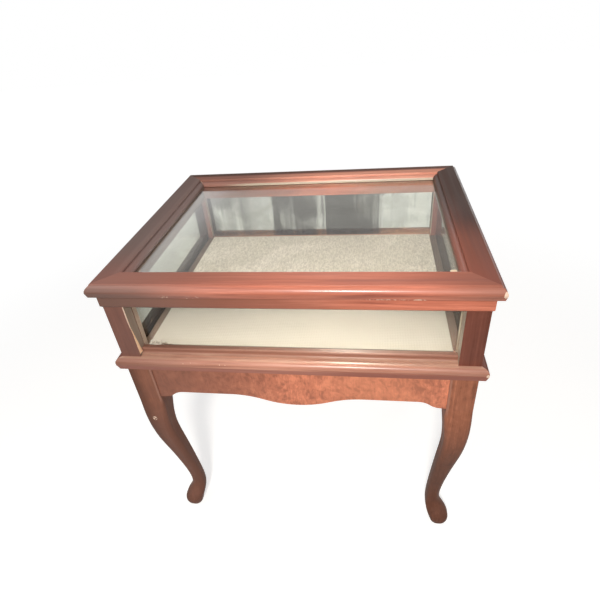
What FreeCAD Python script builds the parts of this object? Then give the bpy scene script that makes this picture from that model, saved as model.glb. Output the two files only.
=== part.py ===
import FreeCAD, Part
import os
import re
import Sketcher
from FreeCAD import Placement, Rotation, Vector

# Collectors display table: a glazed, lift-lid display case on a low table with
# four cabriole legs. Millimetres, +Z up, front towards -Y, origin on the floor
# under the middle of the lid.

os.makedirs("parts", exist_ok=True)
doc = FreeCAD.newDocument("display_table")
sheet = doc.addObject("Spreadsheet::Sheet", "Sizes")

sizeList = [
    # plan and heights
    ("case_width", 585, "over the outer faces of the corner posts"),
    ("case_depth", 463, "over the outer faces of the corner posts"),
    ("leg_top", 434, "height of the leg blocks' top"),
    ("base_thick", 23, "thickness of the moulded base frame"),
    ("post_height", 103, "clear height of the corner posts"),
    ("rail_height", 24, "height of the case's top rails"),
    ("lid_gap", 1, "gap between case and closed lid"),
    ("lid_thick", 21, "thickness of the lid frame"),
    # fits
    ("cut_spare", 5, "how far a cut runs on past the wood"),
    ("fit_gap", 0.2, "clearance round panes, tenons and leaves"),
    ("pilot_gap", 0.05, "clearance round screws and dowels in wood"),
    # lid frame section, measured inwards from its edge and up from its underside
    ("lid_overhang", 10, "lid edge beyond the case rails"),
    ("lid_undercut", 2, "how far the underside stands in from the nose"),
    ("nose_height", 8.5, "height of the fullest point of the edge"),
    ("nose_run", 7.2, "how far the rounded nose reaches in"),
    ("nose_rise", 9.8, "height of the rounded nose"),
    ("edge_round", 2, "radius of the small rounds on the lid's top"),
    ("face_width", 32.8, "flat top face of the lid rails"),
    ("lip_fillet", 2.5, "small upright under the inner round"),
    ("lip_ledge", 1.5, "ledge before the inner ovolo"),
    ("lip_round", 7.5, "radius of the inner ovolo"),
    ("rebate_width", 7, "width of the lid's glass rebate"),
    ("lid_glass_thick", 4, "thickness of the lid glass"),
    ("lid_bead_thick", 3, "thickness of the beads under the lid glass"),
    ("lid_bead_round", 1.5, "rounded edge of those beads"),
    # case
    ("post_size", 34, "side of the square corner posts"),
    ("post_arris", 1, "eased outer corner of the posts"),
    ("rail_proud", 2.5, "case rails beyond the posts' outer faces"),
    ("rail_bevel", 3, "height of the bevel under the case rails"),
    ("rail_round", 1, "eased top edge of the case rails"),
    ("pane_thick", 3, "thickness of the side panes"),
    ("pane_setback", 20, "panes behind the posts' outer faces"),
    ("post_groove", 6, "depth of the posts' glass grooves"),
    ("rail_groove", 8, "depth of the top rails' glass grooves"),
    ("base_groove", 3, "depth of the base's glass grooves"),
    ("pane_entry", 5, "how far a pane enters posts and top rails"),
    ("sill_height", 10, "height of the glazing sills outside the panes"),
    ("sill_setback", 10, "sills behind the posts' outer faces"),
    ("sill_round", 2, "rounded top edge of the sills"),
    ("sill_cove", 4, "radius of the hollow along the foot of the sills"),
    ("sill_toe", 0.8, "thickness of the sills where the hollow runs out"),
    ("dowel_radius", 6, "round tenons at the ends of the posts"),
    ("dowel_length", 12, "length of those tenons"),
    # base frame
    ("base_overhang", 10.5, "base frame beyond the posts"),
    ("base_rail_in", 11.5, "base frame's inner edge inside the posts' inner faces"),
    ("base_round", 8, "radius of the base frame's top edge"),
    ("base_flat", 4, "upright below that round"),
    ("base_undercut", 3, "how far the underside stands in"),
    ("panel_thick", 6, "thickness of the floor panel"),
    ("panel_rebate", 8, "width of the rebate under the floor panel"),
    # floor lining
    ("lining_thick", 3.5, "thickness of the fabric covered floor board"),
    ("lining_side_gap", 3.5, "lining inside the posts' inner faces, left and right"),
    ("lining_front_reach", 7.5, "lining forward of the posts' inner faces"),
    ("lining_back_gap", 0.5, "lining inside the back posts' inner faces"),
    # aprons
    ("apron_thick", 18, "thickness of the aprons"),
    ("apron_setback", 3, "aprons behind the leg blocks' faces"),
    ("apron_height", 63, "height of the aprons at the arches"),
    ("ear_drop", 13, "how far the aprons drop beside the legs"),
    ("ear_flat", 8, "flat under the apron beside a leg"),
    ("ear_run", 37, "width of the curve up from it"),
    ("centre_drop", 20, "how far the aprons drop in the middle"),
    ("centre_run", 115, "half the width of the middle drop"),
    ("tenon_length", 15, "apron tenons into the legs"),
    ("tenon_thick", 8, "thickness of those tenons"),
    ("tenon_inset", 5, "tenon behind the apron's front face"),
    ("tenon_shoulder", 12, "shoulder above the tenon"),
    ("tenon_height", 42, "height of the tenon"),
    # legs: a square block, then stations down the cabriole curve
    ("leg_block", 42.5, "side of the square leg block"),
    ("block_height", 78, "height of that block"),
    ("block_flat", 39.5, "flat left between the block's eased corners"),
    # corner blocks and fasteners
    ("block_leg_side", 45, "corner block's reach along each apron past the leg"),
    ("corner_block_height", 40, "height of the corner blocks"),
    ("base_screw_along", 62, "base screw from the leg corner, along the apron"),
    ("base_screw_in", 36, "base screw from the leg corner, inwards"),
    ("base_screw_radius", 2, "shank radius of the base screws"),
    ("base_screw_depth", 14, "how far they enter the base frame"),
    ("bolt_radius", 3, "shank radius of the leg bolts"),
    ("bolt_depth", 16, "how far they enter the legs"),
    ("bolt_head_radius", 5.5, "across-corner radius of the bolt heads"),
    ("bolt_head_thick", 4, "thickness of the bolt heads"),
    ("bolt_hole_gap", 0.3, "clearance of the corner block's bolt hole"),
    # hinges
    ("hinge_inset", 102.5, "hinge middles in from the case's sides"),
    ("leaf_length", 50, "length of the hinge leaves"),
    ("leaf_reach", 20, "how far the leaves lie in over the rails"),
    ("leaf_thick", 1.6, "thickness of the leaves"),
    ("knuckle_radius", 3.2, "outer radius of the knuckles"),
    ("knuckle_gap", 0.3, "knuckles behind the case's back rail"),
    ("knuckle_play", 0.1, "end play beside each knuckle"),
    ("pin_radius", 1.5, "radius of the hinge pins"),
    ("pin_play", 0.05, "running clearance round the pins"),
    ("pin_head_radius", 2.3, "radius of the pin heads"),
    ("pin_head_length", 1.6, "length of the pin heads"),
    ("leaf_hole_pitch", 17, "pitch of the three leaf screws"),
    ("leaf_hole_in", 12, "leaf screws in from the case rail's face"),
    ("leaf_screw_radius", 1.4, "shank radius of the leaf screws"),
    ("leaf_screw_head", 2.9, "head radius of the leaf screws"),
    ("leaf_screw_length", 13, "length of the leaf screws"),
    # felt dots between case and lid
    ("dot_radius", 5, "radius of the felt dots"),
    ("dot_inset", 52.5, "dots in from the case's sides"),
    ("dot_in", 18, "dots in from the case rail's face"),
]

# Stations of a leg below its block: height above the floor, how far the outer
# faces stand out past the block's (less than nothing: inside), side, and the
# flat left between the rounded corners.
legStations = [
    ("brow", 336, 1.5, 45, 33),
    ("knee", 306, 2.5, 43.5, 26),
    ("thigh", 267, 1, 39.5, 19),
    ("shin", 219, -5, 36, 15),
    ("calf", 163, -14.2, 31.5, 10),
    ("shank", 114, -21.2, 28, 7),
    ("ankle", 75, -24.5, 27, 5),
    ("instep", 46, -20.5, 31, 5),
    ("toe", 22, -6, 40.5, 6),
    ("pad", 7, -5.5, 36, 5),
    ("sole", 0, -8.5, 31, 5),
]
for station, height, reach, side, flat in legStations:
    if station != "sole":
        sizeList.append((station + "_height", height, "height of the leg's " + station))
    sizeList.append((station + "_reach", reach, "outer faces past the block at the " + station))
    sizeList.append((station + "_side", side, "side of the leg at the " + station))
    sizeList.append((station + "_flat", flat, "flat between corners at the " + station))

for row, (alias, number, note) in enumerate(sizeList, start=1):
    sheet.set("A%d" % row, alias)
    sheet.set("B%d" % row, str(number))
    sheet.set("C%d" % row, note)
    sheet.setAlias("B%d" % row, alias)
doc.recompute()
aliases = {alias for alias, number, note in sizeList}

# Sizes that follow from the driving ones.
derived = {
    "lid_width": "case_width + 2 * rail_proud + 2 * lid_overhang",
    "lid_depth": "case_depth + 2 * rail_proud + 2 * lid_overhang",
    "frame_width": "case_width + 2 * rail_proud",
    "frame_depth": "case_depth + 2 * rail_proud",
    "base_width": "case_width + 2 * base_overhang",
    "base_depth": "case_depth + 2 * base_overhang",
    "base_rail_width": "base_overhang + post_size + base_rail_in",
    "base_top": "leg_top + base_thick",
    "rail_bottom": "base_top + post_height",
    "rail_top": "rail_bottom + rail_height",
    "lid_bottom": "rail_top + lid_gap",
    "rail_width": "rail_proud + post_size",
    "face_start": "nose_run + edge_round",
    "lip_start": "face_start + face_width",
    "sight_edge": "lip_start + edge_round + lip_ledge + lip_round",
    "rebate_start": "sight_edge - rebate_width",
    "rebate_depth": "lid_bead_thick + lid_glass_thick + fit_gap",
    "inner_ledge": "lid_thick - edge_round - lip_fillet",
    "nose_radius": "(nose_run * nose_run + nose_rise * nose_rise) / (2 * nose_run)",
    "groove_width": "pane_thick + 2 * fit_gap",
    "dowel_hole": "dowel_radius + pilot_gap",
    "dowel_hole_depth": "dowel_length + fit_gap",
    "pane_bottom": "base_top - base_groove + fit_gap",
    "pane_top": "rail_bottom + pane_entry",
    "hinge_along": "case_width / 2 - hinge_inset",
    "dot_along": "case_width / 2 - dot_inset",
    "pin_out": "knuckle_radius + knuckle_gap",
    "pin_y": "frame_depth / 2 + pin_out",
    "pin_z": "rail_top + lid_gap / 2",
    "leaf_hole_radius": "leaf_screw_radius + fit_gap",
    "block_start": "leg_block + fit_gap",
    "apron_back": "apron_setback + apron_thick",
    "block_seat": "apron_back + fit_gap",
    "block_end": "block_start + block_leg_side",
    "bolt_height": "leg_top - corner_block_height / 2",
    "arch_level": "leg_top - apron_height",
    "ear_level": "arch_level - ear_drop",
    "middle_level": "arch_level - centre_drop",
    "ear_radius": "(ear_run * ear_run + ear_drop * ear_drop) / (4 * ear_drop)",
    "centre_radius": "(centre_run * centre_run + centre_drop * centre_drop) / (4 * centre_drop)",
}

pockets = []        # features that have to take wood or metal away
parts = []          # finished sub-parts, one per node


def bound(text):
    """An expression over the sheet's aliases and the derived sizes."""
    def swap(match):
        word = match.group()
        if word in derived:
            return "(" + bound(derived[word]) + ")"
        return "Sizes." + word if word in aliases else word
    return re.sub(r"[a-z][a-z_]*", swap, text)


def size(text):
    """The present value of such an expression."""
    return float(sheet.evalExpression(bound(text).replace("Sizes.", "")))


def bind(item, place, text):
    item.setExpression(place, bound(text))


def newBody(label):
    body = doc.addObject("PartDesign::Body", label)
    body.Label = label
    parts.append(body)
    return body


def newSketch(body, plane, lift="0"):
    """A sketch on one of the body's origin planes, lifted along its normal."""
    sketch = body.newObject("Sketcher::SketchObject", body.Name + "_sketch")
    origin = [item for item in body.Origin.OriginFeatures if item.Role == plane][0]
    sketch.AttachmentSupport = (origin, [""])
    sketch.MapMode = "FlatFace"
    bind(sketch, ".AttachmentOffset.Base.z", lift)
    return sketch


def fix(sketch, kind, geometry, point, text):
    """One coordinate of a sketch point, measured from the sketch's origin."""
    number = sketch.addConstraint(Sketcher.Constraint(kind, -1, 1, geometry, point, size(text)))
    bind(sketch, "Constraints[%d]" % number, text)


def fixRadius(sketch, geometry, text):
    number = sketch.addConstraint(Sketcher.Constraint("Radius", geometry, size(text)))
    bind(sketch, "Constraints[%d]" % number, text)


def arcBetween(start, end, radius):
    """The short arc that runs anticlockwise from start to end."""
    chord = end - start
    rise = max(radius ** 2 - (chord.Length / 2) ** 2, 0) ** 0.5
    centre = (start + end) / 2 + Vector(-chord.y, chord.x, 0).normalize() * rise
    spoke = [point - centre for point in (start, end)]
    angles = [Vector(1, 0, 0).getAngle(arm) * (1 if arm.y >= 0 else -1) for arm in spoke]
    return Part.ArcOfCircle(Part.Circle(centre, Vector(0, 0, 1), radius), angles[0], angles[1])


def outline(sketch, corners):
    """A closed outline, walked anticlockwise. A corner is (x, y); with a radius
    the stretch to the next corner is a round, and with "hollow" too a hollow."""
    places = [Vector(size(corner[0]), size(corner[1]), 0) for corner in corners]
    walked = []
    for index, corner in enumerate(corners):
        start, end = places[index], places[(index + 1) % len(corners)]
        ends = (1, 2)
        if len(corner) == 2:
            geometry = sketch.addGeometry(Part.LineSegment(start, end), False)
        elif len(corner) == 3:
            geometry = sketch.addGeometry(arcBetween(start, end, size(corner[2])), False)
        else:
            geometry = sketch.addGeometry(arcBetween(end, start, size(corner[2])), False)
            ends = (2, 1)
        walked.append((geometry, ends))
    for index, corner in enumerate(corners):
        geometry, ends = walked[index]
        nextGeometry, nextEnds = walked[(index + 1) % len(corners)]
        sketch.addConstraint(
            Sketcher.Constraint("Coincident", geometry, ends[1], nextGeometry, nextEnds[0]))
        fix(sketch, "DistanceX", geometry, ends[0], corner[0])
        fix(sketch, "DistanceY", geometry, ends[0], corner[1])
        if len(corner) > 2:
            fixRadius(sketch, geometry, corner[2])


def rectangle(sketch, left, right, low, high):
    outline(sketch, [(left, low), (right, low), (right, high), (left, high)])


def circle(sketch, across, up, radius):
    centre = Vector(size(across), size(up), 0)
    geometry = sketch.addGeometry(Part.Circle(centre, Vector(0, 0, 1), size(radius)), False)
    fix(sketch, "DistanceX", geometry, 3, across)
    fix(sketch, "DistanceY", geometry, 3, up)
    fixRadius(sketch, geometry, radius)


def pad(body, sketch, length, reverse=False):
    feature = body.newObject("PartDesign::Pad", body.Name + "_pad")
    feature.Profile = sketch
    bind(feature, "Length", length)
    feature.Reversed = reverse
    return feature


def pocket(body, sketch, depth, reverse=False):
    """A pocket against the sketch's normal, or along it when reversed."""
    feature = body.newObject("PartDesign::Pocket", body.Name + "_pocket")
    feature.Profile = sketch
    bind(feature, "Length", depth)
    feature.Reversed = reverse
    pockets.append(feature)
    return feature


def drill(body, radius, length, place, direction):
    """A round hole that starts at place, given as three expressions."""
    feature = body.newObject("PartDesign::SubtractiveCylinder", body.Name + "_drill")
    origin = [item for item in body.Origin.OriginFeatures if item.Role == "XY_Plane"][0]
    feature.AttachmentSupport = (origin, [""])
    feature.MapMode = "FlatFace"
    feature.AttachmentOffset = Placement(Vector(), Rotation(Vector(0, 0, 1), direction))
    for axis, text in zip("xyz", place):
        bind(feature, ".AttachmentOffset.Base." + axis, text)
    bind(feature, "Radius", radius)
    bind(feature, "Height", length)
    pockets.append(feature)


def roundHoles(body, lift, centres, radius, depth, upwards=False):
    """Upright blind holes, bored down from a level or upwards into it."""
    holes = newSketch(body, "XY_Plane", lift)
    for across, deep in centres:
        circle(holes, across, deep, radius)
    pocket(body, holes, depth, upwards)


def box(label, low, high):
    """A plain block between two corners, each given as three expressions."""
    block = doc.addObject("Part::Box", label)
    block.Label = label
    for axis, side, start, end in zip("xyz", ("Length", "Width", "Height"), low, high):
        bind(block, ".Placement.Base." + axis, start)
        bind(block, side, "(%s) - (%s)" % (end, start))
    parts.append(block)
    return block


def spot(item, across, deep, up, angle=0):
    """Puts a sub-part at its place in the table's frame, turned about Z."""
    item.Placement = Placement(Vector(), Rotation(Vector(0, 0, 1), angle))
    for axis, text in zip("xyz", (across, deep, up)):
        bind(item, ".Placement.Base." + axis, text)


# Each side's piece is drawn as the front one and turned. A corner piece is drawn
# for the front left corner, from that corner inwards, and turned.
sides = [("front", 0), ("right", 90), ("back", 180), ("left", 270)]
corners = [("front_left", 0), ("front_right", 90), ("back_right", 180), ("back_left", 270)]


def spotSide(item, side, angle, width, depth, up):
    away = {"front": ("0", "-(%s) / 2" % depth), "right": ("(%s) / 2" % width, "0"),
            "back": ("0", "(%s) / 2" % depth), "left": ("-(%s) / 2" % width, "0")}
    spot(item, away[side][0], away[side][1], up, angle)


def spotCorner(item, corner, angle, up):
    across = "case_width / 2" if "right" in corner else "-case_width / 2"
    deep = "case_depth / 2" if "back" in corner else "-case_depth / 2"
    spot(item, across, deep, up, angle)


def sideLength(side, width, depth):
    return width if side in ("front", "back") else depth


def mitredRail(label, length, section, width):
    """A rail along X with its outer edge on y = 0, mitred at both ends."""
    body = newBody(label)
    profile = newSketch(body, "YZ_Plane", "-(%s) / 2" % length)
    outline(profile, section)
    pad(body, profile, length)
    mitres = newSketch(body, "XY_Plane")
    end, spare = "((%s) / 2)" % length, "(%s + cut_spare)" % width
    outline(mitres, [(end + " + cut_spare", "-cut_spare"), (end + " + cut_spare", spare),
                     (end + " - " + spare, spare)])
    outline(mitres, [("-%s - cut_spare" % end, "-cut_spare"), ("%s - %s" % (spare, end), spare),
                     ("-%s - cut_spare" % end, spare)])
    cut = pocket(body, mitres, "1", True)
    cut.Type = "ThroughAll"
    return body


def leafScrewPlaces(edge):
    """Middles of the six leaf screws along one rail, measured from its outer edge."""
    return [("%s * hinge_along + %d * leaf_hole_pitch" % (hand, step), edge + " + leaf_hole_in")
            for hand in ("-1", "1") for step in (-1, 0, 1)]


# ---- lid ----------------------------------------------------------------
lidSection = [
    ("lid_undercut", "0"), ("rebate_start", "0"), ("rebate_start", "rebate_depth"),
    ("sight_edge", "rebate_depth"), ("sight_edge", "inner_ledge - lip_round", "lip_round"),
    ("sight_edge - lip_round", "inner_ledge"), ("lip_start + edge_round", "inner_ledge"),
    ("lip_start + edge_round", "lid_thick - edge_round", "edge_round"),
    ("lip_start", "lid_thick"), ("face_start", "lid_thick", "edge_round"),
    ("nose_run", "lid_thick - edge_round"),
    ("nose_run", "nose_height + nose_rise", "nose_radius"), ("0", "nose_height"),
]


for side, angle in sides:
    length = sideLength(side, "lid_width", "lid_depth")
    rail = mitredRail("lid_rail_" + side, length, lidSection, "sight_edge")
    if side == "back":
        seats = newSketch(rail, "XY_Plane")
        recess = newSketch(rail, "XY_Plane")
        for hand in ("-1", "1"):
            left = hand + " * hinge_along - leaf_length / 2 - 2 * fit_gap"
            right = hand + " * hinge_along + leaf_length / 2 + 2 * fit_gap"
            rectangle(seats, left, right, "lid_overhang", "lid_overhang + leaf_reach + fit_gap")
            rectangle(recess, left + " - pin_head_length", right + " + pin_head_length",
                      "-cut_spare", "lid_overhang + fit_gap")
        pocket(rail, seats, "leaf_thick", True)
        pocket(rail, recess, "knuckle_radius + knuckle_gap - lid_gap / 2", True)
        roundHoles(rail, "0", leafScrewPlaces("lid_overhang"), "leaf_screw_radius + pilot_gap",
                   "leaf_screw_length + fit_gap", True)
    spotSide(rail, side, angle, "lid_width", "lid_depth", "lid_bottom")

beadOut = "rebate_start + fit_gap"
beadSection = [
    ("0", "0"), ("rebate_width - fit_gap - lid_bead_round", "0", "lid_bead_round"),
    ("rebate_width - fit_gap", "lid_bead_round"), ("rebate_width - fit_gap", "lid_bead_thick"),
    ("0", "lid_bead_thick"),
]
for side, angle in sides:
    width = "(lid_width - 2 * (%s))" % beadOut
    depth = "(lid_depth - 2 * (%s))" % beadOut
    bead = mitredRail("lid_bead_" + side, sideLength(side, width, depth), beadSection,
                      "rebate_width")
    spotSide(bead, side, angle, width, depth, "lid_bottom")

glassX = "lid_width / 2 - rebate_start - fit_gap"
glassY = "lid_depth / 2 - rebate_start - fit_gap"
box("lid_glass", ("-(%s)" % glassX, "-(%s)" % glassY, "lid_bottom + lid_bead_thick"),
    (glassX, glassY, "lid_bottom + lid_bead_thick + lid_glass_thick"))

# ---- case rails, on top of the posts ---------------------------------------
railGroove = "rail_proud + pane_setback - fit_gap"
railSection = [
    ("rail_proud", "0"), (railGroove, "0"), (railGroove, "rail_groove"),
    (railGroove + " + groove_width", "rail_groove"), (railGroove + " + groove_width", "0"),
    ("rail_width", "0"), ("rail_width", "rail_height"),
    ("rail_round", "rail_height", "rail_round"), ("0", "rail_height - rail_round"),
    ("0", "rail_bevel"),
]
for side, angle in sides:
    length = sideLength(side, "frame_width", "frame_depth")
    rail = mitredRail("case_rail_" + side, length, railSection, "rail_width")
    inset = "rail_proud + post_size / 2"
    ends = [("%s * ((%s) / 2 - %s)" % (hand, length, "(" + inset + ")"), inset)
            for hand in ("-1", "1")]
    roundHoles(rail, "0", ends, "dowel_hole", "dowel_hole_depth", True)
    if side == "back":
        seats = newSketch(rail, "XY_Plane", "rail_height")
        for hand in ("-1", "1"):
            rectangle(seats, hand + " * hinge_along - leaf_length / 2 - fit_gap",
                      hand + " * hinge_along + leaf_length / 2 + fit_gap",
                      "-cut_spare", "leaf_reach + fit_gap")
        pocket(rail, seats, "leaf_thick")
        roundHoles(rail, "rail_height", leafScrewPlaces("0"), "leaf_screw_radius + pilot_gap",
                   "leaf_screw_length + fit_gap")
    spotSide(rail, side, angle, "frame_width", "frame_depth", "rail_bottom")

# ---- corner posts ------------------------------------------------------------
for corner, angle in corners:
    post = newBody("post_" + corner)
    grooveIn, grooveOut = "pane_setback - fit_gap", "pane_setback - fit_gap + groove_width"
    floorOf = "post_size - post_groove"
    square = newSketch(post, "XY_Plane")
    outline(square, [
        ("post_arris", "0"), ("post_size", "0"), ("post_size", grooveIn), (floorOf, grooveIn),
        (floorOf, grooveOut), ("post_size", grooveOut), ("post_size", "post_size"),
        (grooveOut, "post_size"), (grooveOut, floorOf), (grooveIn, floorOf),
        (grooveIn, "post_size"), ("0", "post_size"), ("0", "post_arris", "post_arris"),
    ])
    pad(post, square, "post_height")
    for level, down in (("post_height", False), ("0", True)):
        dowel = newSketch(post, "XY_Plane", level)
        circle(dowel, "post_size / 2", "post_size / 2", "dowel_radius")
        pad(post, dowel, "dowel_length", down)
    spotCorner(post, corner, angle, "base_top")

# ---- panes and the sills outside them ----------------------------------------
paneOut = "pane_setback"
paneIn = "pane_setback + pane_thick"
openWidth = "(case_width / 2 - post_size)"
openDepth = "(case_depth / 2 - post_size)"
for name, sign in (("front", -1), ("back", 1)):
    near, far = ("case_depth / 2 - (%s)" % text for text in (paneIn, paneOut))
    low, high = (near, far) if sign > 0 else ("-(%s)" % far, "-(%s)" % near)
    box("pane_" + name, ("-(%s + pane_entry)" % openWidth, low, "pane_bottom"),
        (openWidth + " + pane_entry", high, "pane_top"))
for name, sign in (("right", 1), ("left", -1)):
    near, far = ("case_width / 2 - (%s)" % text for text in (paneIn, paneOut))
    low, high = (near, far) if sign > 0 else ("-(%s)" % far, "-(%s)" % near)
    box("pane_" + name, (low, "-(%s + pane_entry)" % openDepth, "pane_bottom"),
        (high, openDepth + " + pane_entry", "pane_top"))

sillDeep = "pane_setback - sill_setback - fit_gap"
for side, angle in sides:
    sill = newBody("sill_" + side)
    run = sideLength(side, openWidth, openDepth)
    profile = newSketch(sill, "YZ_Plane", "-" + run)
    outline(profile, [("-sill_cove", "0"), (sillDeep, "0"), (sillDeep, "sill_height"),
                      ("sill_round", "sill_height", "sill_round"),
                      ("0", "sill_height - sill_round"),
                      ("0", "sill_toe + sill_cove", "sill_cove", "hollow"),
                      ("-sill_cove", "sill_toe")])
    pad(sill, profile, "2 * " + run)
    spotSide(sill, side, angle, "case_width - 2 * sill_setback", "case_depth - 2 * sill_setback",
             "base_top")

# ---- base frame, floor panel and lining --------------------------------------
baseGroove = "base_overhang + pane_setback - fit_gap"
baseSection = [
    ("base_undercut", "0"), ("base_rail_width", "0"),
    ("base_rail_width", "base_thick - panel_thick"),
    ("base_rail_width - panel_rebate", "base_thick - panel_thick"),
    ("base_rail_width - panel_rebate", "base_thick"),
    (baseGroove + " + groove_width", "base_thick"),
    (baseGroove + " + groove_width", "base_thick - base_groove"),
    (baseGroove, "base_thick - base_groove"), (baseGroove, "base_thick"),
    ("base_round", "base_thick", "base_round"), ("0", "base_thick - base_round"),
    ("0", "base_thick - base_round - base_flat"),
]
for side, angle in sides:
    length = sideLength(side, "base_width", "base_depth")
    rail = mitredRail("base_rail_" + side, length, baseSection, "base_rail_width")
    inset = "(base_overhang + post_size / 2)"
    posts = [("%s * ((%s) / 2 - %s)" % (hand, length, inset), inset) for hand in ("-1", "1")]
    roundHoles(rail, "base_thick", posts, "dowel_hole", "dowel_hole_depth")
    screws = [("%s * ((%s) / 2 - base_overhang - base_screw_along)" % (hand, length),
               "base_overhang + base_screw_in") for hand in ("-1", "1")]
    roundHoles(rail, "0", screws, "base_screw_radius + pilot_gap", "base_screw_depth + fit_gap",
               True)
    spotSide(rail, side, angle, "base_width", "base_depth", "leg_top")

panelX = "base_width / 2 - base_rail_width + panel_rebate - fit_gap"
panelY = "base_depth / 2 - base_rail_width + panel_rebate - fit_gap"
box("floor_panel", ("-(%s)" % panelX, "-(%s)" % panelY, "base_top - panel_thick"),
    (panelX, panelY, "base_top"))
box("floor_lining",
    ("-(%s - lining_side_gap)" % openWidth, "-(%s + lining_front_reach)" % openDepth,
     "base_top + fit_gap"),
    (openWidth + " - lining_side_gap", openDepth + " - lining_back_gap",
     "base_top + fit_gap + lining_thick"))

# ---- legs ----------------------------------------------------------------------


def roundedSquare(sketch, reach, side, flat):
    """Square section whose outer faces stand out by reach past the block's."""
    low, high = "-(%s)" % reach, "%s - (%s)" % (side, reach)
    round_ = "(%s - %s) / 2" % (side, flat)
    near, far = "%s + %s" % (low, round_), "%s - %s" % (high, round_)
    outline(sketch, [
        (near, low), (far, low, round_), (high, near), (high, far, round_),
        (far, high), (near, high, round_), (low, far), (low, near, round_),
    ])


for corner, angle in corners:
    leg = newBody("leg_" + corner)
    blockFoot = "leg_top - block_height"
    block = newSketch(leg, "XY_Plane", blockFoot)
    roundedSquare(block, "0", "leg_block", "block_flat")
    pad(leg, block, "block_height")
    sections = [newSketch(leg, "XY_Plane", blockFoot)]
    roundedSquare(sections[0], "0", "leg_block", "block_flat")
    for station, height, reach, side, flat in legStations:
        level = "0" if station == "sole" else station + "_height"
        sections.append(newSketch(leg, "XY_Plane", level))
        roundedSquare(sections[-1], station + "_reach", station + "_side", station + "_flat")
    curve = leg.newObject("PartDesign::AdditiveLoft", leg.Name + "_loft")
    curve.Profile = sections[0]
    curve.Sections = sections[1:]
    curve.Ruled = False
    mortiseTop = "leg_top - tenon_shoulder + fit_gap"
    mortiseFoot = "leg_top - tenon_shoulder - tenon_height - fit_gap"
    mortiseNear = "apron_setback + tenon_inset - fit_gap"
    mortiseFar = "apron_setback + tenon_inset + tenon_thick + fit_gap"
    mortise = newSketch(leg, "YZ_Plane", "leg_block")
    rectangle(mortise, mortiseNear, mortiseFar, mortiseFoot, mortiseTop)
    pocket(leg, mortise, "tenon_length + fit_gap")
    mortise = newSketch(leg, "XZ_Plane", "-leg_block")
    rectangle(mortise, mortiseNear, mortiseFar, mortiseFoot, mortiseTop)
    pocket(leg, mortise, "tenon_length + fit_gap", True)
    tip = "leg_block - bolt_depth / sqrt(2)"
    drill(leg, "bolt_radius + pilot_gap", "bolt_depth + cut_spare", (tip, tip, "bolt_height"),
          Vector(1, 1, 0))
    spotCorner(leg, corner, angle, "0")

# ---- aprons --------------------------------------------------------------------


def wave(start, startLevel, end, endLevel, radius, firstHollow):
    """Two equal arcs that leave start and reach end level, each half the way."""
    middle = ("((%s) + (%s)) / 2" % (start, end), "((%s) + (%s)) / 2" % (startLevel, endLevel))
    first, second = (start, startLevel, radius), (middle[0], middle[1], radius)
    return [first + ("hollow",), second] if firstHollow else [first, second + ("hollow",)]


for side, angle in sides:
    apron = newBody("apron_" + side)
    half = "(%s / 2 - leg_block)" % sideLength(side, "case_width", "case_depth")
    earIn, archIn = half + " - ear_flat", half + " - ear_flat - ear_run"
    face = newSketch(apron, "XZ_Plane")
    outline(face, [("-" + half, "leg_top"), ("-" + half, "ear_level")]
            + wave("-(%s)" % earIn, "ear_level", "-(%s)" % archIn, "arch_level", "ear_radius", False)
            + [("-(%s)" % archIn, "arch_level")]
            + wave("-centre_run", "arch_level", "0", "middle_level", "centre_radius", True)
            + wave("0", "middle_level", "centre_run", "arch_level", "centre_radius", False)
            + [("centre_run", "arch_level")]
            + wave(archIn, "arch_level", earIn, "ear_level", "ear_radius", True)
            + [(earIn, "ear_level"), (half, "ear_level"), (half, "leg_top")])
    pad(apron, face, "apron_thick", True)
    tenon = newSketch(apron, "XZ_Plane", "-tenon_inset")
    rectangle(tenon, "-(%s + tenon_length)" % half, half + " + tenon_length",
              "leg_top - tenon_shoulder - tenon_height", "leg_top - tenon_shoulder")
    pad(apron, tenon, "tenon_thick", True)
    spotSide(apron, side, angle, "case_width - 2 * apron_setback",
             "case_depth - 2 * apron_setback", "0")

# ---- corner blocks ---------------------------------------------------------------
blockFoot = "leg_top - corner_block_height"
for corner, angle in corners:
    block = newBody("corner_block_" + corner)
    plan = newSketch(block, "XY_Plane", blockFoot)
    outline(plan, [("block_start", "block_seat"), ("block_end", "block_seat"),
                   ("block_seat", "block_end"), ("block_seat", "block_start"),
                   ("block_start", "block_start")])
    pad(block, plan, "corner_block_height")
    roundHoles(block, blockFoot, [("base_screw_along", "base_screw_in"),
                                  ("base_screw_in", "base_screw_along")],
               "base_screw_radius + fit_gap", "corner_block_height", True)
    drill(block, "bolt_radius + bolt_hole_gap", "block_leg_side",
          ("leg_block - cut_spare", "leg_block - cut_spare", "bolt_height"), Vector(1, 1, 0))
    spotCorner(block, corner, angle, "0")

# ---- hinges ------------------------------------------------------------------------


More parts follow.
